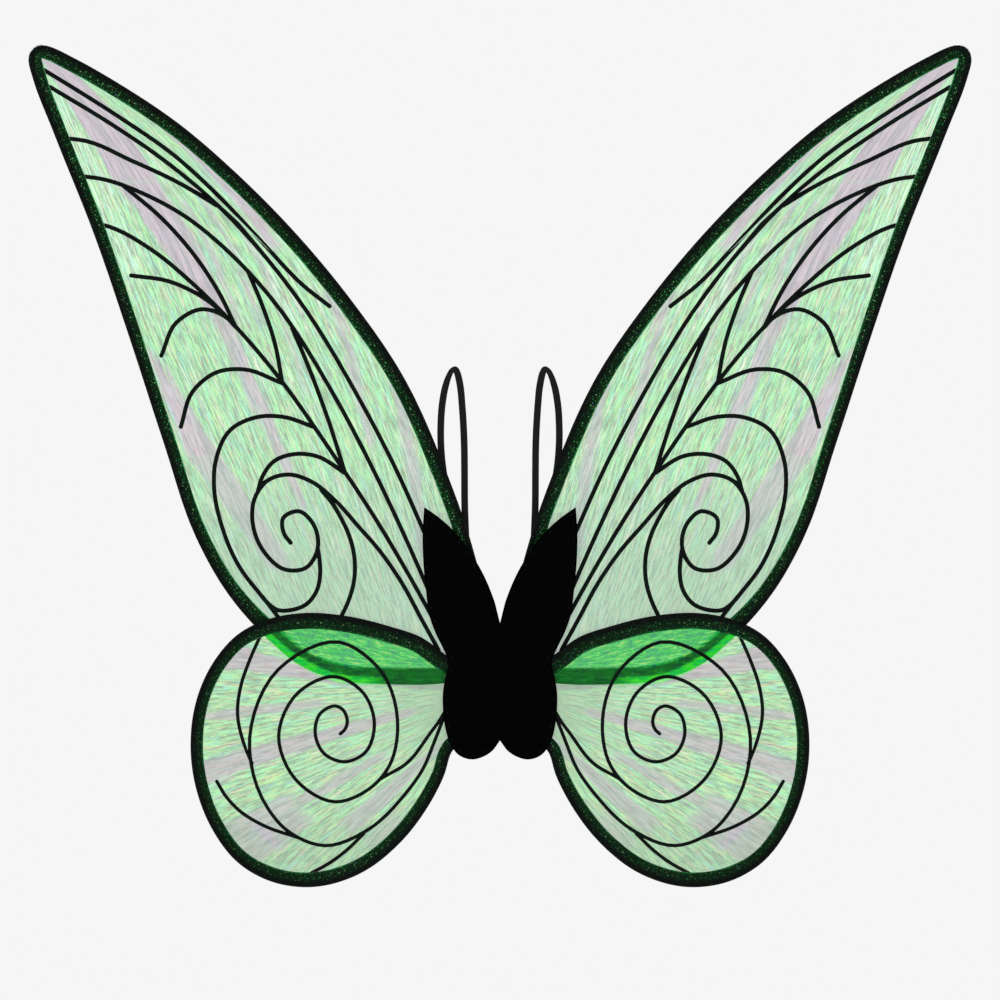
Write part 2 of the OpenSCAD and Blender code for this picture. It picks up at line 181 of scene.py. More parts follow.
def front_loops(name):
    """The edges, as loops of (x, z) points, of the faces that look out along -Y on a CAD node."""
    mesh = frame["nodes"][name].data
    bm = bmesh.new()
    bm.from_mesh(mesh)
    bmesh.ops.remove_doubles(bm, verts=bm.verts, dist=1e-6)
    bm.normal_update()
    uses = {}
    for f in bm.faces:
        if f.normal.y < -0.99:
            for e in f.edges:
                uses[e] = uses.get(e, 0) + 1
    border = [e for e, count in uses.items() if count == 1]
    links = {}
    for e in border:
        a, b = e.verts
        links.setdefault(a.index, []).append(b.index)
        links.setdefault(b.index, []).append(a.index)
    bm.verts.ensure_lookup_table()
    loops, seen = [], set()
    for start in sorted(links):
        if start in seen:
            continue
        loop, here, before = [], start, None
        while here not in seen:
            seen.add(here)
            loop.append(here)
            ahead = [k for k in links[here] if k != before and k not in seen]
            if not ahead:
                break
            before, here = here, ahead[0]
        loops.append([(bm.verts[k].co.x, bm.verts[k].co.z) for k in loop])
    bm.free()
    return loops


def segments_of(points):
    return list(zip(points, points[1:] + points[:1]))


def area_of(loop):
    """The area inside a loop of (x, z) points, above zero if they run anticlockwise."""
    return 0.5 * sum(a[0] * b[1] - b[0] * a[1] for a, b in segments_of(loop))


def resample(loop, step):
    """A closed loop of (x, z) points at even spacing."""
    points = [Vector(p) for p in loop]
    points.append(points[0])
    ends = [0.0]
    for a, b in zip(points, points[1:]):
        ends.append(ends[-1] + (b - a).length)
    count = max(8, round(ends[-1] / step))
    out = []
    for i in range(count):
        s = ends[-1] * i / count
        k = min(bisect.bisect_right(ends, s) - 1, len(points) - 2)
        t = (s - ends[k]) / (ends[k + 1] - ends[k])
        out.append(points[k].lerp(points[k + 1], t))
    return out


def outline_of(name, step):
    """The widest front outline of a CAD node as even points, anticlockwise."""
    points = resample(max(front_loops(name), key=lambda loop: abs(area_of(loop))), step)
    if area_of(points) < 0:
        points.reverse()
    return points


def smooth_closed(points, times):
    """A closed loop with its corners eased."""
    for _ in range(times):
        n = len(points)
        points = [points[i] * 0.5 + (points[i - 1] + points[(i + 1) % n]) * 0.25 for i in range(n)]
    return points


def nearest_on(segments, p):
    """The point of the segments that is nearest to p."""
    best, where = 1e9, None
    for a, b in segments:
        d = b - a
        t = max(0.0, min(1.0, (p - a).dot(d) / max(d.length_squared, 1e-12)))
        q = a + d * t
        gap = (p - q).length_squared
        if gap < best:
            best, where = gap, q
    return where


def cut_on_grid(bm, points, step):
    """Cuts a flat face along even lines both ways, so that it can be shaped."""
    for axis, normal in ((0, (1, 0, 0)), (1, (0, 0, 1))):
        high = max(p[axis] for p in points)
        at = min(p[axis] for p in points) + step * 0.5
        while at < high:
            everything = bm.verts[:] + bm.edges[:] + bm.faces[:]
            bmesh.ops.bisect_plane(bm, geom=everything, plane_co=Vector(normal) * at, plane_no=normal)
            at += step


# ---------------------------------------------------------------- camera and lights
def make_camera():
    data = bpy.data.cameras.new("camera")
    data.sensor_width = SENSOR_MM
    data.lens = SENSOR_MM * CAMERA_DISTANCE / VIEW_WIDTH
    data.clip_end = 60
    camera = link_object("camera", data)
    camera.location = (0, -CAMERA_DISTANCE, cad_high[2] - VIEW_CENTRE_BELOW_TIPS)
    camera.rotation_euler = (math.pi / 2, 0, 0)
    bpy.context.scene.camera = camera


def area_light(name, place, aim, size, power):
    data = bpy.data.lights.new(name, "AREA")
    data.shape = "DISK"
    data.size = size
    data.energy = power
    light = link_object(name, data)
    light.location = place
    light.rotation_euler = (Vector(aim) - Vector(place)).to_track_quat("-Z", "Y").to_euler()


def make_world():
    """An even studio light that the camera sees as the paper backdrop."""
    world = bpy.data.worlds.new("studio")
    bpy.context.scene.world = world
    world.use_nodes = True
    tree = world.node_tree
    tree.nodes.clear()
    out = tree.nodes.new("ShaderNodeOutputWorld")
    mix = tree.nodes.new("ShaderNodeMixShader")
    path = tree.nodes.new("ShaderNodeLightPath")
    seen = tree.nodes.new("ShaderNodeBackground")
    seen.inputs[0].default_value = (PAPER, PAPER, PAPER, 1)
    soft = tree.nodes.new("ShaderNodeBackground")
    soft.inputs[0].default_value = (1, 1, 1, 1)
    soft.inputs[1].default_value = 0.72
    tree.links.new(path.outputs["Is Camera Ray"], mix.inputs[0])
    tree.links.new(soft.outputs[0], mix.inputs[1])
    tree.links.new(seen.outputs[0], mix.inputs[2])
    tree.links.new(mix.outputs[0], out.inputs[0])


def make_floor():
    z = cad_low[2] - FLOOR_DROP
    verts = [(x * FLOOR_HALF, y * FLOOR_HALF, z) for x, y in ((-1, -1), (1, -1), (1, 1), (-1, 1))]
    floor = new_object("floor", verts, [(0, 1, 2, 3)])
    floor.data.materials.append(paper_material())


# ---------------------------------------------------------------- material helpers
class Tree:
    """Short calls for building one material's nodes."""

    def __init__(self, name):
        self.material = bpy.data.materials.new(name)
        self.material.use_nodes = True
        self.tree = self.material.node_tree
        self.shader = next(n for n in self.tree.nodes if n.type == "BSDF_PRINCIPLED")

    def node(self, kind, **values):
        n = self.tree.nodes.new(kind)
        for key, value in values.items():
            setattr(n, key, value)
        return n

    def link(self, a, b):
        self.tree.links.new(a, b)

    def set(self, node, socket, value):
        if hasattr(value, "node"):
            self.link(value, node.inputs[socket])
        else:
            node.inputs[socket].default_value = value

    def math(self, operation, a, b=0.0):
        n = self.node("ShaderNodeMath", operation=operation)
        self.set(n, 0, a)
        self.set(n, 1, b)
        return n.outputs[0]

    def plus(self, a, b):
        return self.math("ADD", a, b)

    def minus(self, a, b):
        return self.math("SUBTRACT", a, b)

    def times(self, a, b):
        return self.math("MULTIPLY", a, b)

    def over(self, a, b):
        return self.math("DIVIDE", a, b)

    def greater(self, a, b):
        return self.math("MAXIMUM", a, b)

    def smooth(self, value, low, high):
        """A soft step of value: 0 at low and 1 at high."""
        n = self.node("ShaderNodeMapRange", interpolation_type="SMOOTHSTEP")
        self.set(n, 0, value)
        n.inputs[1].default_value = low
        n.inputs[2].default_value = high
        return n.outputs[0]

    def between(self, value, low, high, at_low, at_high):
        """A straight ramp of value from low to high, clamped at both ends."""
        n = self.node("ShaderNodeMapRange")
        self.set(n, 0, value)
        for socket, number in enumerate((low, high, at_low, at_high), 1):
            n.inputs[socket].default_value = number
        return n.outputs[0]

    def curve(self, value, points):
        """A smooth curve through (value, result) points."""
        low, high = points[0][0], points[-1][0]
        top = max(y for _, y in points)
        n = self.node("ShaderNodeFloatCurve")
        curve = n.mapping.curves[0]
        while len(curve.points) < len(points):
            curve.points.new(0.5, 0.5)
        for spot, (x, y) in zip(curve.points, points):
            spot.location = ((x - low) / (high - low), y / top)
        n.mapping.update()
        self.set(n, "Value", self.between(value, low, high, 0.0, 1.0))
        return self.times(n.outputs[0], top)

    def stripe(self, value, centre, half, soft):
        """1 within half of the centre, 0 outside, with soft edges."""
        off = self.minus(self.math("ABSOLUTE", self.minus(value, centre)), half)
        return self.smooth(off, soft, -soft)

    def place(self):
        """Sockets x, y, z of the object's own coordinates, in millimetres."""
        coords = self.node("ShaderNodeTexCoord")
        split = self.node("ShaderNodeSeparateXYZ")
        scale = self.node("ShaderNodeVectorMath", operation="SCALE")
        scale.inputs["Scale"].default_value = 1000
        self.link(coords.outputs["Object"], scale.inputs[0])
        self.link(scale.outputs[0], split.inputs[0])
        return split.outputs[0], split.outputs[1], split.outputs[2]

    def unrolled(self):
        """Sockets along and across of the piece's texture map, in millimetres."""
        split = self.node("ShaderNodeSeparateXYZ")
        self.link(self.node("ShaderNodeTexCoord").outputs["UV"], split.inputs[0])
        return split.outputs[0], split.outputs[1]

    def vector(self, x, y, z=0.0):
        n = self.node("ShaderNodeCombineXYZ")
        self.set(n, 0, x)
        self.set(n, 1, y)
        self.set(n, 2, z)
        return n.outputs[0]

    def noise(self, vector, scale=1.0, detail=3.0, rough=0.5):
        n = self.node("ShaderNodeTexNoise")
        self.link(vector, n.inputs["Vector"])
        n.inputs["Scale"].default_value = scale
        n.inputs["Detail"].default_value = detail
        n.inputs["Roughness"].default_value = rough
        return n.outputs[0]

    def streaks(self, along, along_scale, across, across_scale, seed, detail=3.0, rough=0.5):
        """Noise drawn out into streaks."""
        place = self.vector(self.times(along, along_scale), self.times(across, across_scale), seed)
        return self.noise(place, 1.0, detail, rough)

    def mix(self, factor, a, b, blend="MIX"):
        n = self.node("ShaderNodeMix", data_type="RGBA", blend_type=blend)
        self.set(n, 0, factor)
        self.set(n, 6, a if hasattr(a, "node") else (*a[:3], 1))
        self.set(n, 7, b if hasattr(b, "node") else (*b[:3], 1))
        return n.outputs[2]

    def ramp(self, value, stops):
        n = self.node("ShaderNodeValToRGB")
        self.link(value, n.inputs[0])
        elements = n.color_ramp.elements
        while len(elements) < len(stops):
            elements.new(0.5)
        for element, (at, colour) in zip(elements, stops):
            element.position = at
            element.color = (*colour, 1)
        return n.outputs[0]

    def bump(self, height, strength, distance):
        n = self.node("ShaderNodeBump")
        n.inputs["Strength"].default_value = strength
        n.inputs["Distance"].default_value = distance
        self.link(height, n.inputs["Height"])
        self.link(n.outputs[0], self.shader.inputs["Normal"])

    def surface(self, colour, roughness, gloss=0.5):
        self.set(self.shader, "Base Color", colour)
        self.set(self.shader, "Roughness", roughness)
        self.set(self.shader, "Specular IOR Level", gloss)


def paper_material():
    t = Tree("floor_paper")
    grain = t.noise(t.vector(*t.place()), 0.02, 2.0)
    t.surface(t.mix(grain, (PAPER,) * 3, (PAPER * 0.985,) * 3), 0.9, 0.0)
    return t.material


# ---------------------------------------------------------------- the film's materials
# What the film shows in front of the backdrop, as sRGB, 0-255
MINT = (199, 232, 210)
GREEN = (176, 231, 186)
AQUA = (179, 227, 221)
PALE = (230, 243, 240)
YELLOW = (208, 228, 182)
PINK = (217, 195, 215)
GREY = (195, 181, 199)
DULL = (180, 197, 184)
ROOT = (166, 187, 162)
# Painted highlight: the pale streaks by the upper film's tip
TIP_HIGHLIGHT = (232, 252, 242)
VIOLET = (214, 170, 226)
RAINBOW = [
    (0.36, (136, 214, 226)), (0.42, (150, 232, 190)), (0.47, (166, 236, 160)), (0.53, (186, 234, 166)),
    (0.59, (232, 222, 168)), (0.65, (226, 180, 214))
]

# Upper film: the distance from the middle, at each height, of the streak that runs
# down beside the leading edge and of the one that runs beside the trailing edge
LEAD_STREAK = [
    (0, 22), (60, 40), (130, 60), (180, 75), (225, 92), (273, 112), (322, 138), (362, 167), (406, 210),
    (445, 256), (477, 302), (515, 372)
]
TRAIL_STREAK = [(0, 170), (104, 218), (257, 288), (273, 295), (360, 325), (440, 352), (515, 380)]

# Dull bands on the upper film, between the lead streak (0) and the trail streak (1):
# [top height, its centre, its half width, low height, its centre, its half width, strength]
UPPER_BANDS = [
    (505, 0.62, 0.22, 400, 0.645, 0.13, 0.95), (400, 0.645, 0.13, 292, 0.565, 0.045, 0.95),
    (292, 0.565, 0.045, 138, 0.555, 0.022, 0.85), (446, 0.135, 0.05, 348, 0.145, 0.03, 0.9),
    (322, 0.02, 0.025, 192, 0.135, 0.018, 0.8), (262, -0.1, 0.03, 110, 0.045, 0.028, 0.75),
    (262, 0.94, 0.02, 180, 0.905, 0.075, 0.9), (180, 0.905, 0.075, 92, 0.775, 0.065, 0.8),
    (402, 0.33, 0.016, 286, 0.405, 0.014, 0.75), (385, 0.45, 0.02, 288, 0.495, 0.016, 0.7),
    (372, 0.24, 0.022, 232, 0.335, 0.016, 0.55)
]
# Dull bands on the lower film, in degrees round a point near the root:
# [outer distance, inner distance, centre, half width, strength]
LOWER_ROOT = (-10, 0)
LOWER_BANDS = [
    (300, 150, -6.5, 1.0, 0.9), (300, 80, -16.2, 2.1, 0.95), (200, 118, -29.6, 1.5, 0.85),
    (300, 196, -31.0, 4.6, 0.85), (180, 62, -41.6, 2.4, 0.85), (176, 140, -49.5, 2.6, 0.7),
    (150, 90, -9.6, 0.5, 0.55), (190, 120, -24.0, 0.5, 0.5)
]

# Linear colours of the lower film over the upper one: above the hidden border, over it, and over its rim
OVERLAP_MIXED = [
    (0.36, (0.02, 0.05, 0.14)), (0.41, (0.0, 0.32, 0.28)), (0.46, (0.0, 0.48, 0.04)),
    (0.52, (0.0, 0.76, 0.08)), (0.58, (0.26, 0.92, 0.2)), (0.64, (0.72, 0.66, 0.14))
]
OVERLAP_DEEP = [
    (0.38, (0.0, 0.03, 0.05)), (0.48, (0.0, 0.15, 0.01)), (0.56, (0.0, 0.26, 0.012)), (0.66, (0.0, 0.5, 0.05))
]
OVERLAP_BRIGHT = [(0.38, (0.0, 0.42, 0.16)), (0.5, (0.0, 0.72, 0.02)), (0.62, (0.12, 0.9, 0.03))]


def film_colour(target):
    """Base colour that shows as target when the film hangs in front of the backdrop."""
    return tuple(max(0.0, (v - (1 - FILM_ALPHA) * PAPER) / FILM_ALPHA) for v in lin(target))


def film_stops(stops):
    return [(at, film_colour(target)) for at, target in stops]


def film_ground(t, along, width, light_tone):
    """The film's greens: broad soft streaks from aqua to green, with light ones between."""
    broad = t.streaks(along, 0.011, width, 0.17, 3.0, 4.0, 0.75)
    stops = [(0.37, AQUA), (0.44, MINT), (0.5, GREEN), (0.56, MINT), (0.63, light_tone)]
    return t.ramp(broad, film_stops(stops))


def film_fray(t, along, width):
    """Noise about zero that makes the bands' edges ragged."""
    return t.minus(t.streaks(along, 0.03, width, 0.6, 4.0, 4.0, 0.75), 0.5)


def film_dull(t, colour, along, width, dull, stray_scale, stray_strength, tone_top):
    """Pink and grey where the film is dull, which is in its bands and in stray streaks."""
    stray = t.smooth(t.streaks(along, 0.012, width, stray_scale, 23.0), 0.6, 0.68)
    dull = t.greater(dull, t.times(stray, stray_strength))
    tone = t.smooth(t.streaks(along, 0.012, width, 0.2, 31.0, 2.0), 0.4, tone_top)
    return t.mix(dull, colour, t.mix(tone, film_colour(PINK), film_colour(GREY))), dull


def film_fibres_and_reflections(t, colour, along, width, dull):
    """Long fibres, whose lighter and darker hairs are partly the film's own fibre grain and partly painted
    streaky reflection, and hints of other colours between them.
    """
    hair = t.streaks(along, 0.05, width, 0.62, 9.0, 5.0, 0.85)
    light = t.smooth(hair, 0.385, 0.615)
    hue = t.streaks(along, 0.04, width, 0.42, 17.0, 4.0, 0.85)
    colour = t.mix(t.between(dull, 0.0, 1.0, 0.5, 0.12), colour, t.ramp(hue, film_stops(RAINBOW)))
    # Painted streaky reflection along the fibres: lighter hairs brighten the colour, darker ones dim it
    shade = t.ramp(light, [(0.0, (0.24,) * 3), (0.5, (0.94,) * 3), (1.0, (1.5,) * 3)])
    return t.mix(t.between(dull, 0.0, 1.0, 0.95, 0.45), colour, shade, "MULTIPLY"), hair, light


def film_surface(t, colour, hair, light, opaque):
    """Sets the film's looks. Opaque is what is added to its opacity where it lies on another film."""
    t.surface(colour, 0.32, 0.25)
    t.set(t.shader, "Alpha", t.plus(t.between(light, 0.0, 0.7, FILM_ALPHA + 0.1, FILM_ALPHA), opaque))
    t.bump(hair, 0.25, 0.0004)


def upper_film():
    t = Tree("iridescent_film_upper")
    x, _, z = t.place()
    out = t.math("ABSOLUTE", x)
    lead = t.curve(z, LEAD_STREAK)
    trail = t.curve(z, TRAIL_STREAK)
    across = t.over(t.minus(out, lead), t.minus(trail, lead))
    width = t.times(across, 150)
    colour = film_ground(t, z, width, PALE)
    ragged = t.plus(across, t.times(film_fray(t, z, width), 0.13))
    dull = 0.0
    for top, top_at, top_half, low, low_at, low_half, strength in UPPER_BANDS:
        centre = t.between(z, low, top, low_at, top_at)
        half = t.between(z, low, top, low_half, top_half)
        ends = t.times(t.smooth(z, low - 9, low + 3), t.smooth(z, top + 9, top - 3))
        band = t.times(t.stripe(ragged, centre, half, 0.012), ends)
        dull = t.greater(dull, t.times(band, strength))
    colour, dull = film_dull(t, colour, z, width, dull, 0.34, 0.45, 0.62)
    # Painted highlight: pale streaks inside the trailing border by the tip
    tip_highlight = t.times(t.smooth(ragged, 0.79, 0.85), t.smooth(z, 300, 350))
    hairy = t.smooth(t.streaks(z, 0.014, width, 0.5, 40.0), 0.42, 0.56)
    colour = t.mix(t.times(tip_highlight, hairy), colour, film_colour(TIP_HIGHLIGHT))
    colour, hair, light = film_fibres_and_reflections(t, colour, z, width, dull)
    # Duller towards the root
    colour = t.mix(t.times(t.smooth(z, 215, 70), 0.55), colour, film_colour(DULL))
    # Below its crossing with the lower border, a curve that peaks at a height of 55, the film is a deep green
    fall = t.times(t.math("POWER", t.over(t.minus(out, 155), 113), 2.0), 34)
    crossed = t.smooth(t.minus(z, t.minus(55, fall)), 0, -10)
    colour = t.mix(crossed, colour, t.mix(light, (0.0, 0.28, 0.02), (0.05, 0.74, 0.12)))
    film_surface(t, colour, hair, light, t.times(crossed, 0.18))
    return t.material


def film_overlap(t, out, z, along, width, fray):
    """Where the upper wing shows through the lower film, with a painted soft green shadow below its edge
    towards the middle: how much it does, over its rim, and the colours.
    """
    outside = t.greater(t.minus(out, 110), 0.0)
    rise = t.minus(z, t.minus(t.times(t.times(outside, outside), 0.00645), 2.2))
    rise = t.plus(rise, t.times(fray, 3.0))
    # Painted shadow: a soft green shade below the hidden border's edge, towards the middle
    shadow = t.smooth(t.plus(rise, t.between(out, 60, 108, 6.0, 0.0)), -3.0, 3.0)
    over = t.greater(t.smooth(rise, -2.5, 0.5), t.times(shadow, t.smooth(out, 112, 96)))
    rim = t.times(t.times(over, t.smooth(rise, 8, 4.5)), t.smooth(out, 84, 112))
    band = t.times(over, t.smooth(rise, 15.0, 12.0))
    patch = t.streaks(along, 0.07, width, 0.32, 50.0, 5.0, 0.9)
    inside = t.mix(band, t.ramp(patch, OVERLAP_MIXED), t.ramp(patch, OVERLAP_DEEP))
    return over, rim, t.mix(rim, inside, t.ramp(patch, OVERLAP_BRIGHT))


def lower_film():
    t = Tree("iridescent_film_lower")
    x, _, z = t.place()
    out = t.math("ABSOLUTE", x)
    dx = t.minus(out, LOWER_ROOT[0])
    dz = t.minus(z, LOWER_ROOT[1])
    across = t.times(t.math("ARCTAN2", dz, dx), 180 / math.pi)
    along = t.math("SQRT", t.plus(t.times(dx, dx), t.times(dz, dz)))
    width = t.times(across, 2.6)
    colour = film_ground(t, along, width, YELLOW)
    fray = film_fray(t, along, width)
    ragged = t.plus(across, t.times(fray, 5.5))
    dull = 0.0
    for far, near, centre, half, strength in LOWER_BANDS:
        ends = t.times(t.smooth(along, near - 8, near + 8), t.smooth(along, far + 8, far - 8))
        band = t.times(t.stripe(ragged, centre, half, 0.35), ends)
        dull = t.greater(dull, t.times(band, strength))
    # The dull band that slants down from the outer end of the overlap
    slant = t.plus(t.minus(z, t.between(out, 100, 208, -6, 19)), t.times(fray, 14))
    band = t.stripe(slant, 0.0, t.between(out, 110, 205, 1.5, 9.0), 1.2)
    dull = t.greater(dull, t.times(band, t.smooth(out, 88, 120)))
    colour, dull = film_dull(t, colour, along, width, dull, 0.3, 0.4, 0.66)
    colour = t.mix(0.32, colour, film_colour(ROOT))
    # A violet glow under the lowest rib
    glow = t.times(t.stripe(out, 186, 12, 9), t.stripe(t.plus(z, t.times(out, -0.9)), -290, 3, 9))
    colour = t.mix(t.times(glow, 0.8), colour, film_colour(VIOLET))
    colour, hair, light = film_fibres_and_reflections(t, colour, along, width, dull)
    # Duller towards the root and the lowest edge
    root = t.greater(t.smooth(along, 120, 55), t.times(t.smooth(z, -85, -135), 0.7))
    colour = t.mix(t.times(root, 0.55), colour, film_colour(ROOT))
    over, rim, shown = film_overlap(t, out, z, along, width, fray)
    film_surface(t, t.mix(over, colour, shown), hair, light, t.times(rim, 0.16))
    return t.material


# ---------------------------------------------------------------- the other materials
# Glitter: [pitch in mm, size of a fleck as a share of it, how few of them show, strength]
GLITTER = [(2.3, 0.30, 0.35, 0.75), (5.2, 0.17, 0.1, 0.95)]
FLECKS = [
    (0.0, (30, 130, 54)), (0.6, (76, 184, 92)), (0.86, (150, 220, 150)), (0.93, (180, 130, 90)),
    (1.0, (96, 160, 196))
]


def ribbon_material(name, sparkle):
    """Glitter ribbon, from black over the wire to green-black at its inner edge, which has a green rim."""
    t = Tree(name)
    along, across = t.unrolled()
    depth = t.math("ABSOLUTE", across)
    weave = t.streaks(along, 1.6, across, 3.2, 0.0, 3.0, 0.7)
    patchy = t.streaks(along, 0.05, across, 0.12, 3.0, 3.0, 0.7)
    base = t.mix(t.smooth(depth, 2.5, 8.0), (0.0012, 0.0020, 0.0016), (0.0008, 0.018, 0.0036))
    base = t.mix(t.times(weave, 0.7), base, (0.0008, 0.0018, 0.0014))
    green = t.times(t.smooth(depth, 10.4, 11.7), t.between(patchy, 0.38, 0.6, 0.1, 1.0))
    base = t.mix(t.times(green, 0.8 * sparkle), base, (0.004, 0.24, 0.055))
    for pitch, size, few, power in GLITTER:
        cells = t.node("ShaderNodeTexVoronoi", voronoi_dimensions="2D")
        t.link(t.vector(t.over(along, pitch), t.over(across, pitch * 0.85)), cells.inputs["Vector"])
        cells.inputs["Scale"].default_value = 1.0
        cells.inputs["Randomness"].default_value = 0.8
        dot = t.smooth(cells.outputs["Distance"], size, size * 0.4)
        pick = t.node("ShaderNodeSeparateXYZ")
        t.link(cells.outputs["Color"], pick.inputs[0])
        shown = t.times(t.between(pick.outputs[0], few, 1.0, 0.0, 1.0), t.between(depth, 3.0, 7.0, 0.1, 1.0))
        glow = t.times(t.times(dot, shown), t.between(patchy, 0.36, 0.62, 0.25, 1.0))
        fleck = t.ramp(pick.outputs[1], [(at, lin(colour)) for at, colour in FLECKS])
        base = t.mix(t.times(glow, power * sparkle), base, fleck)
    t.surface(base, 0.6, 0.06)
    t.bump(weave, 0.4, 0.0003)
    return t.material


def felt_material():
    t = Tree("black_felt")
    p = t.vector(*t.place())
    hair = t.noise(p, 1.4, 5.0, 0.75)
    patch = t.noise(p, 0.06, 2.0)
    base = t.mix(hair, (0.0006,) * 3, (0.0024,) * 3)
    t.surface(t.mix(t.times(patch, 0.4), base, (0.0012,) * 3), 1.0, 0.0)
    t.bump(hair, 0.7, 0.0006)
    return t.material


def vein_material():
    t = Tree("vein_paint")
    p = t.vector(*t.place())
    grain = t.noise(p, 1.8, 3.0, 0.6)
    tone = t.noise(p, 0.03, 2.0)
    base = t.mix(grain, (0.0008, 0.0014, 0.0011), (0.0026, 0.0050, 0.0038))
    t.surface(t.mix(t.smooth(tone, 0.45, 0.65), base, (0.0012, 0.0065, 0.0032)), 0.55, 0.06)
    t.bump(grain, 0.5, 0.0003)
    return t.material


def elastic_material():
    t = Tree("braided_elastic")
    along, across = t.unrolled()
    ribs = t.math("SINE", t.times(across, 2 * math.pi / 0.9))
    twill = t.math("SINE", t.times(t.plus(along, t.math("ABSOLUTE", ribs)), 2 * math.pi / 0.8))
    braid = t.plus(t.times(ribs, 0.6), t.times(twill, 0.4))
    t.surface(t.mix(t.smooth(braid, -0.8, 0.9), (0.004,) * 3, (0.013,) * 3), 0.85, 0.15)
    t.bump(braid, 0.6, 0.0003)
    return t.material


def thread_material():
    t = Tree("sewing_thread")
    x, y, z = t.place()
    ply = t.noise(t.vector(t.plus(x, z), y, t.minus(x, z)), 2.4, 2.0)
    t.surface(t.mix(ply, (0.002,) * 3, (0.010,) * 3), 0.75, 0.1)
    t.bump(ply, 0.5, 0.0002)
    return t.material


def metal_material(name, colour, roughness):
    t = Tree(name)
    x, y, z = t.place()
    drawn = t.noise(t.vector(t.times(x, 3.0), t.times(y, 3.0), t.times(z, 0.2)), 1.0, 3.0)
    stain = t.noise(t.vector(x, y, z), 0.08, 3.0)
    base = t.mix(t.smooth(stain, 0.4, 0.75), colour, [v * 0.6 for v in colour])
    t.surface(base, t.plus(roughness, t.times(drawn, 0.2)))
    t.set(t.shader, "Metallic", 1.0)
    t.bump(drawn, 0.3, 0.0001)
    return t.material


def board_material():
    t = Tree("stiffener_board")
    grain = t.noise(t.vector(*t.place()), 0.9, 4.0)
    t.surface(t.mix(grain, (0.03,) * 3, (0.055,) * 3), 0.6)
    t.bump(grain, 0.3, 0.0002)
    return t.material


# ---------------------------------------------------------------- wing surfaces
def wing_mid(side, wing):
    low, high = node_box(f"{side}_{wing}_film")
    return (low.y + high.y) / 2


def billow(wing, x, z):
    """How far the film stands off its flat plane, in metres: slack folds that die out in the overlap."""
    u, v = abs(x) * 1000, z * 1000
    if wing == "upper":
        lean = math.radians(58)
        calm = min(1.0, max(0.0, (v - 70) / 60))
        seed = 3.0
    else:
        lean = math.radians(-10)
        calm = 0.55
        seed = 8.0
    along = u * math.cos(lean) + v * math.sin(lean)
    across = u * math.sin(lean) - v * math.cos(lean)
    waves = noise.noise(Vector((along * 0.006, across * 0.045, seed)))
    creases = noise.noise(Vector((along * 0.02, across * 0.16, seed + 5)))
    return calm * (1.1 * waves + 0.35 * creases) * MM


def film_depth(wing, mid, rim_segments, place):
    """The depth of the film's middle at a place: flat by the rim, with slack folds further in."""
    p = Vector((place.x, place.z))
    gap = (nearest_on(rim_segments, p) - p).length
    ease = min(1.0, max(0.0, (gap - STIFF_EDGE) / SLACK_IN))
    return mid + billow(wing, place.x, place.z) * ease * ease * (3 - 2 * ease)


def edge_runs(side, wing):
    """The film's rim as even points, and the ribbon's inner edge as segments."""
    rim = smooth_closed(outline_of(f"{side}_{wing}_film", RIM_STEP), 2)
    rim_segments = segments_of(rim)
    inner = []
    for loop in front_loops(f"{side}_{wing}_binding"):
        if len(loop) <= 20:
            continue
        for a, b in segments_of([Vector(p) for p in loop]):
            if min((nearest_on(rim_segments, q) - q).length for q in (a, (a + b) / 2, b)) > 5 * MM:
                inner.append((a, b))
    return rim, inner


def make_film(side, wing, rim, material):
    """A film sheet cut to the rim, on an even grid, with slack folds."""
    mid = wing_mid(side, wing)
    bm = bmesh.new()
    bm.faces.new([bm.verts.new((p.x, 0, p.y)) for p in rim])
    cut_on_grid(bm, rim, FILM_STEP)
    rim_segments = segments_of(rim)
    for v in bm.verts:
        v.co.y = film_depth(wing, mid, rim_segments, v.co)
    bm.normal_update()
    if sum(f.normal.y for f in bm.faces) > 0:
        bmesh.ops.reverse_faces(bm, faces=bm.faces)
    obj = object_from(bm, f"{side}_{wing}_film_sheet")
    obj.data.materials.append(material)
    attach(obj, f"{side}_half")
    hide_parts(f"{side}_{wing}_film")


def ribbon_section(edge, outward, inner_end):
    """The ribbon's closed section at one place: [point, depth from the film, texture distance]."""
    base = edge - outward * BEAD_END
    flat = [(base.lerp(inner_end, share), half * MM, BEAD_END + (RIM_UV - BEAD_END) * share)
            for share, half in RIBBON_FLAT]
    section = [(point, -half, u) for point, half, u in flat]
    for turn in BEAD_TURNS:
        u = BEAD_R - BEAD_R * math.cos(math.radians(turn))
        section.append((edge - outward * u, BEAD_R * math.sin(math.radians(turn)), u))
    return section + flat[::-1]


def make_ribbon(side, wing, rim, inner, material):
    """The ribbon: round over the wire, flat on the film, closed at its inner edge."""
    mid = wing_mid(side, wing)
    count = len(rim)
    tangents = [rim[(i + 1) % count] - rim[i - 1] for i in range(count)]
    normals = smooth_closed([Vector((d.y, -d.x)).normalized() for d in tangents], 2)
    inner_ends = smooth_closed([nearest_on(inner, p) for p in rim], 1)
    verts, uvs = [], []
    run = 0.0
    for i, p in enumerate(rim):
        outward = normals[i].normalized()
        section = ribbon_section(p + outward * RIBBON_OUT, outward, inner_ends[i])
        ripple = RIPPLE * noise.noise(Vector((run * 300, 2.0, 0)))
        for k, (point, depth, u) in enumerate(section):
            verts.append((point.x, mid + depth + (ripple if depth < 0 else -ripple), point.y))
            uvs.append((run * 1000, (u if k < len(section) / 2 else -u) * 1000))
        run += (rim[(i + 1) % count] - p).length
    faces = tube_faces(count, len(section), closed=True)
    obj = new_object(f"{side}_{wing}_ribbon", verts, faces, uvs)
    recalc_normals(obj)
    obj.data.materials.append(material)
    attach(obj, f"{side}_half")
    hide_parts(f"{side}_{wing}_binding")


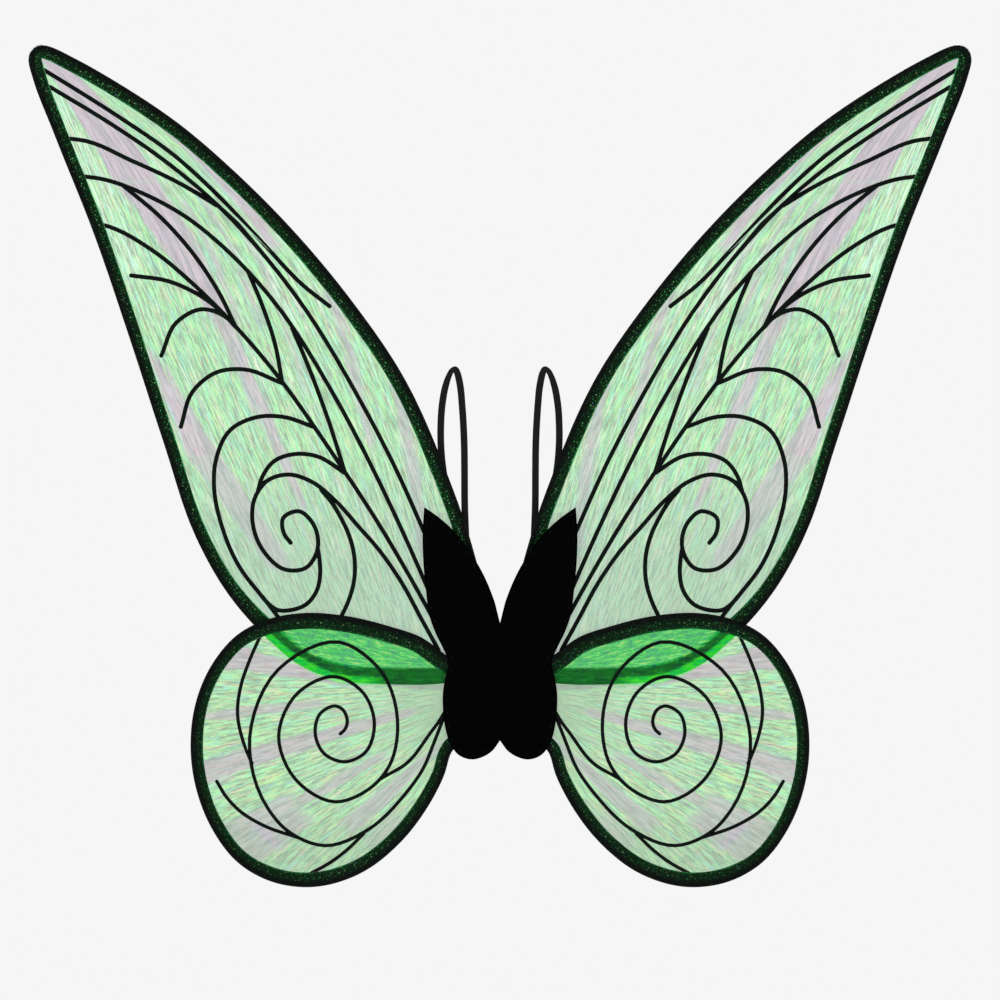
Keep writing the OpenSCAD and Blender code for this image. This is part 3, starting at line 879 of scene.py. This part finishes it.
def make_veins(side, wing, rim, material):
    """Crowned strokes of paint on the film, from the outline of the CAD veins."""
    rim_segments = segments_of(rim)
    mid = wing_mid(side, wing)
    bm = bmesh.new()
    bm.from_mesh(frame["nodes"][f"{side}_{wing}_veins"].data)
    bmesh.ops.remove_doubles(bm, verts=bm.verts, dist=1e-6)
    bm.normal_update()
    bmesh.ops.delete(bm, geom=[f for f in bm.faces if f.normal.y > -0.99], context="FACES")
    bmesh.ops.delete(bm, geom=[v for v in bm.verts if not v.link_faces], context="VERTS")
    for v in bm.verts:
        v.co.y = 0.0
    edge = {v for e in bm.edges if len(e.link_faces) == 1 for v in e.verts}
    bmesh.ops.inset_region(bm, faces=bm.faces[:], thickness=VEIN_SLOPE, depth=0.0, use_even_offset=True,
                           use_boundary=True)
    top = {v for v in bm.verts if v not in edge}
    bmesh.ops.extrude_edge_only(bm, edges=[e for e in bm.edges if len(e.link_faces) == 1])
    for v in bm.verts:
        height = VEIN_TOP if v in top else VEIN_EDGE if v in edge else VEIN_FOOT
        v.co.y = film_depth(wing, mid, rim_segments, v.co) - height
    bm.normal_update()
    obj = object_from(bm, f"{side}_{wing}_painted_veins")
    obj.data.materials.append(material)
    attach(obj, f"{side}_half")
    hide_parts(f"{side}_{wing}_veins")


# ---------------------------------------------------------------- felt covers
def cover_outline(side, kind):
    """The cover's outline, carried on past its straight edge to the middle, where it meets the other half."""
    tape_low, tape_high = node_box(f"seam_{kind}_tape")
    points = outline_of(f"{side}_{kind}_cover", FELT_EDGE_STEP)
    straight = min(abs(p.x) for p in points)
    for p in points:
        if abs(p.x) < straight + 0.3 * MM:
            p.x = 0.0
            p.y = max(tape_low.z, min(tape_high.z, p.y))
    return points


def felt_depth(kind, place, gap, outer_y, inner_y):
    """The felt's outer face: thin at its stitched edge, swelling over the wire roots, dipping at the seam."""
    outward = -1.0 if kind == "front" else 1.0
    inward = min(1.0, gap / (14 * MM))
    rise = math.sqrt(max(0.0, 1 - (1 - min(1.0, gap / (1.6 * MM))) ** 2))
    seam_dip = 1.0 - 0.6 * math.exp(-(abs(place.x) / (3.5 * MM)) ** 2)
    quilt = 0.25 * MM * noise.noise(Vector((place.x * 40, place.z * 40, 1.0 if kind == "front" else 6.0)))
    y = outer_y + outward * (FELT_SWELL[kind] * math.sin(inward * math.pi / 2) * seam_dip + quilt * inward)
    return y * rise + (outer_y * 0.35 + inner_y * 0.65) * (1 - rise)


def make_cover(side, kind, material):
    low, high = node_box(f"{side}_{kind}_cover")
    outer_y, inner_y = (low.y, high.y) if kind == "front" else (high.y, low.y)
    points = cover_outline(side, kind)
    bm = bmesh.new()
    bm.faces.new([bm.verts.new((p.x, 0, p.y)) for p in points])
    cut_on_grid(bm, points, FELT_STEP)
    result = bmesh.ops.extrude_face_region(bm, geom=bm.faces[:])
    domed = {g for g in result["geom"] if isinstance(g, bmesh.types.BMVert)}
    sewn = [(a, b) for a, b in segments_of(points) if max(abs(a.x), abs(b.x)) > 0.5 * MM]
    for v in bm.verts:
        p = Vector((v.co.x, v.co.z))
        gap = (nearest_on(sewn, p) - p).length
        v.co.y = felt_depth(kind, v.co, gap, outer_y, inner_y) if v in domed else inner_y
    bmesh.ops.recalc_face_normals(bm, faces=bm.faces)
    obj = object_from(bm, f"{side}_{kind}_felt")
    obj.data.materials.append(material)
    names = [f"{side}_{kind}_cover"]
    if side == "left":
        names.append(f"seam_{kind}_tape")
    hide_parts(*names)
    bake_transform(obj)


# ---------------------------------------------------------------- shoulder elastic
# The loop from its outer foot over the top to its inner foot:
# [distance from the middle, height, turn in degrees]
LOOP_ROUTE = [
    (34, 88.3, 0), (34, 100, 0), (35, 116, 0), (37, 132, 0), (40.4, 146, 0), (44.6, 164, 0), (47, 184, 0),
    (47.4, 204, 0), (46.2, 222, 8), (43.4, 237, 24), (40.8, 244.6, 40), (38.6, 248.6, 46), (36, 250, 40),
    (34.2, 247, 26), (33, 242.6, 14), (31.6, 235, 5), (30.4, 222, 0), (29.2, 204, 0), (28.6, 188, 0),
    (28.4, 170, 0), (28.2, 140, 0), (27.2, 114, 0), (26.6, 100, 0), (26.6, 88.3, 0)
]
# The band's section, from -1 to 1 across and through it, a little crowned
BAND_SECTION = [
    (-1, -0.75), (-0.9, -1), (-0.3, -1.06), (0.3, -1.06), (0.9, -1), (1, -0.75),
    (1, 0.75), (0.9, 1), (0.3, 1.06), (-0.3, 1.06), (-0.9, 1), (-1, 0.75)
]
BAND_SHARE = 0.94                # of the CAD band's thickness, so that the crown stays inside it


def catmull(points, steps):
    """A smooth route through the points."""
    out = []
    ends = [points[0] * 2 - points[1], *points, points[-1] * 2 - points[-2]]
    for a, b, c, d in zip(ends, ends[1:], ends[2:], ends[3:]):
        l0, l1, l2 = (b - a).length, (c - b).length, (d - c).length
        mb = ((b - a) * (l1 / l0) + (c - b) * (l0 / l1)) / (l0 + l1)
        mc = ((c - b) * (l2 / l1) + (d - c) * (l1 / l2)) / (l1 + l2)
        for k in range(steps):
            t = k / steps
            out.append(b * (2 * t ** 3 - 3 * t * t + 1) + mb * l1 * (t ** 3 - 2 * t * t + t)
                       + c * (3 * t * t - 2 * t ** 3) + mc * l1 * (t ** 3 - t * t))
    out.append(points[-1].copy())
    return out


def band_path(tail_low, tail_high):
    """The band's whole route: up one sewn tail, round the loop, and down the other tail."""
    loop = catmull([Vector((x * MM, z * MM, turn * TURN_UNIT)) for x, z, turn in LOOP_ROUTE], LOOP_STEPS)
    heights = [tail_low + (tail_high - tail_low) * i / TAIL_STEPS for i in range(TAIL_STEPS + 1)]
    first = [Vector((loop[0].x, z, loop[0].z)) for z in heights]
    last = [Vector((loop[-1].x, z, loop[-1].z)) for z in reversed(heights)]
    return first + loop + last


def make_elastic(side, material):
    """One flat band: sewn tail, loop with its turn over the top, and the other sewn tail."""
    sign = SIGN[side]
    tails_low, tails_high = node_box(f"{side}_strap_tails")
    tail_y = (tails_low.y + tails_high.y) / 2
    half_t = (tails_high.y - tails_low.y) / 2
    half_w = (tails_high.x - tails_low.x - TAIL_PITCH) / 2
    _, loop_y, seam_z = next(j for j in frame["joints"] if j["name"] == f"{side}_loop_swing")["pos_m"]
    tail_top = seam_z - TAIL_BELOW
    path = band_path(tails_low.z, tail_top)
    verts, uvs = [], []
    run = 0.0
    for i, p in enumerate(path):
        before, after = path[max(i - 1, 0)], path[min(i + 1, len(path) - 1)]
        d = Vector((after.x - before.x, after.y - before.y)).normalized()
        turn = math.radians(p.z / TURN_UNIT)
        on_loop = min(1.0, max(0.0, (p.y - tail_top) / (1.5 * MM)))
        y = tail_y + (loop_y - tail_y) * on_loop
        for u, v in BAND_SECTION:
            across, through = u * half_w, v * half_t * BAND_SHARE
            flat = across * math.cos(turn) - through * math.sin(turn)
            deep = across * math.sin(turn) + through * math.cos(turn)
            verts.append((sign * (p.x + flat * d.y), y + deep, p.y - flat * d.x))
            uvs.append((run * 1000, across * 1000))
        if i + 1 < len(path):
            run += Vector((path[i + 1].x - p.x, path[i + 1].y - p.y)).length
    obj = new_object(f"{side}_elastic", verts, tube_faces(len(path), len(BAND_SECTION)), uvs)
    recalc_normals(obj)
    obj.data.materials.append(material)
    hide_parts(f"{side}_strap_tails", f"{side}_shoulder_loop")
    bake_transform(obj)


# ---------------------------------------------------------------- stitches
THREAD_RINGS = 7
THREAD_SIDES = 8


def islands_of(bm):
    """The points of each separate solid in a mesh."""
    todo, found = set(bm.verts), []
    while todo:
        island, front = set(), [min(todo, key=lambda v: v.index)]
        while front:
            v = front.pop()
            if v not in island:
                island.add(v)
                front += [e.other_vert(v) for e in v.link_edges]
        todo -= island
        found.append([v.co for v in island])
    return found


def thread_points(points, swell):
    """Rings round one rounded thread that lies along a CAD stitch and dips into the felt at both ends."""
    centre = sum(points, Vector()) / len(points)
    level = (a - b for a in points for b in points if abs(a.y - b.y) < 1e-6)
    longest = max(level, key=lambda d: d.length)
    length = Vector((longest.x, 0, longest.z)).length
    direction = Vector((longest.x, 0, longest.z)).normalized()
    side = Vector((direction.z, 0, -direction.x))
    half_y = (max(p.y for p in points) - min(p.y for p in points)) / 2
    outward = -1.0 if centre.y < -3 * MM else 1.0
    found = []
    for i in range(THREAD_RINGS):
        share = i / (THREAD_RINGS - 1)
        lift = math.sin(share * math.pi)
        at_end = i in (0, THREAD_RINGS - 1)
        radius = half_y * (0.4 if at_end else 0.55 + 0.75 * lift ** 0.5)
        stand = outward * (swell * lift + half_y * 0.2 * (lift - 1))
        middle = centre + direction * (share - 0.5) * length * 0.98 + Vector((0, stand, 0))
        for k in range(THREAD_SIDES):
            turn = 2 * math.pi * k / THREAD_SIDES
            found.append(middle + side * radius * math.cos(turn) + Vector((0, radius * math.sin(turn), 0)))
    return found


def make_stitches(name, node, body, material, swell):
    """Each CAD stitch becomes a rounded thread."""
    bm = bmesh.new()
    bm.from_mesh(frame["nodes"][node].data)
    bmesh.ops.remove_doubles(bm, verts=bm.verts, dist=1e-6)
    verts, faces = [], []
    for points in islands_of(bm):
        faces += tube_faces(THREAD_RINGS, THREAD_SIDES, base=len(verts))
        verts += thread_points(points, swell)
    bm.free()
    obj = new_object(name, verts, faces)
    recalc_normals(obj)
    obj.data.materials.append(material)
    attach(obj, body)
    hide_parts(node)


# ---------------------------------------------------------------- the model
make_camera()
make_world()
make_floor()
area_light("key", (-2.6, -3.4, 2.6), (0, 0, 0.15), 1.8, 62)
area_light("fill", (2.8, -3.0, 0.6), (0, 0, 0.15), 2.2, 26)
area_light("rim", (0.4, 3.2, 2.4), (0, 0, 0.2), 1.6, 40)

FILM = {"upper": upper_film(), "lower": lower_film()}
RIBBON = {
    "upper": ribbon_material("glitter_ribbon_upper", 1.0),
    "lower": ribbon_material("glitter_ribbon_lower", 0.55)
}
VEIN = vein_material()
FELT = felt_material()
ELASTIC = elastic_material()
THREAD = thread_material()
STEEL = metal_material("drawn_steel", (0.42, 0.43, 0.44), 0.3)
ALUMINIUM = metal_material("crimped_aluminium", (0.62, 0.63, 0.64), 0.35)
BOARD = board_material()

for side in SIDES:
    for wing in WINGS:
        rim, inner = edge_runs(side, wing)
        make_film(side, wing, rim, FILM[wing])
        make_ribbon(side, wing, rim, inner, RIBBON[wing])
        make_veins(side, wing, rim, VEIN)
    for kind in ("front", "back"):
        make_cover(side, kind, FELT)
    make_elastic(side, ELASTIC)
    make_stitches(f"{side}_cover_threads", f"{side}_cover_stitching", f"{side}_half", THREAD, 0.5 * MM)
    make_stitches(f"{side}_tack_threads", f"{side}_strap_tacks", f"{side}_half", THREAD, 0.15 * MM)

# The pieces whose CAD shape is kept
KEPT = {"wire": STEEL, "sleeve": ALUMINIUM, "root_board": BOARD, "seam_core": FELT}
for name, node in frame["nodes"].items():
    for word, material in KEPT.items():
        if name.endswith(word):
            node.data.materials.clear()
            node.data.materials.append(material)

bpy.context.scene.view_settings.view_transform = "Standard"
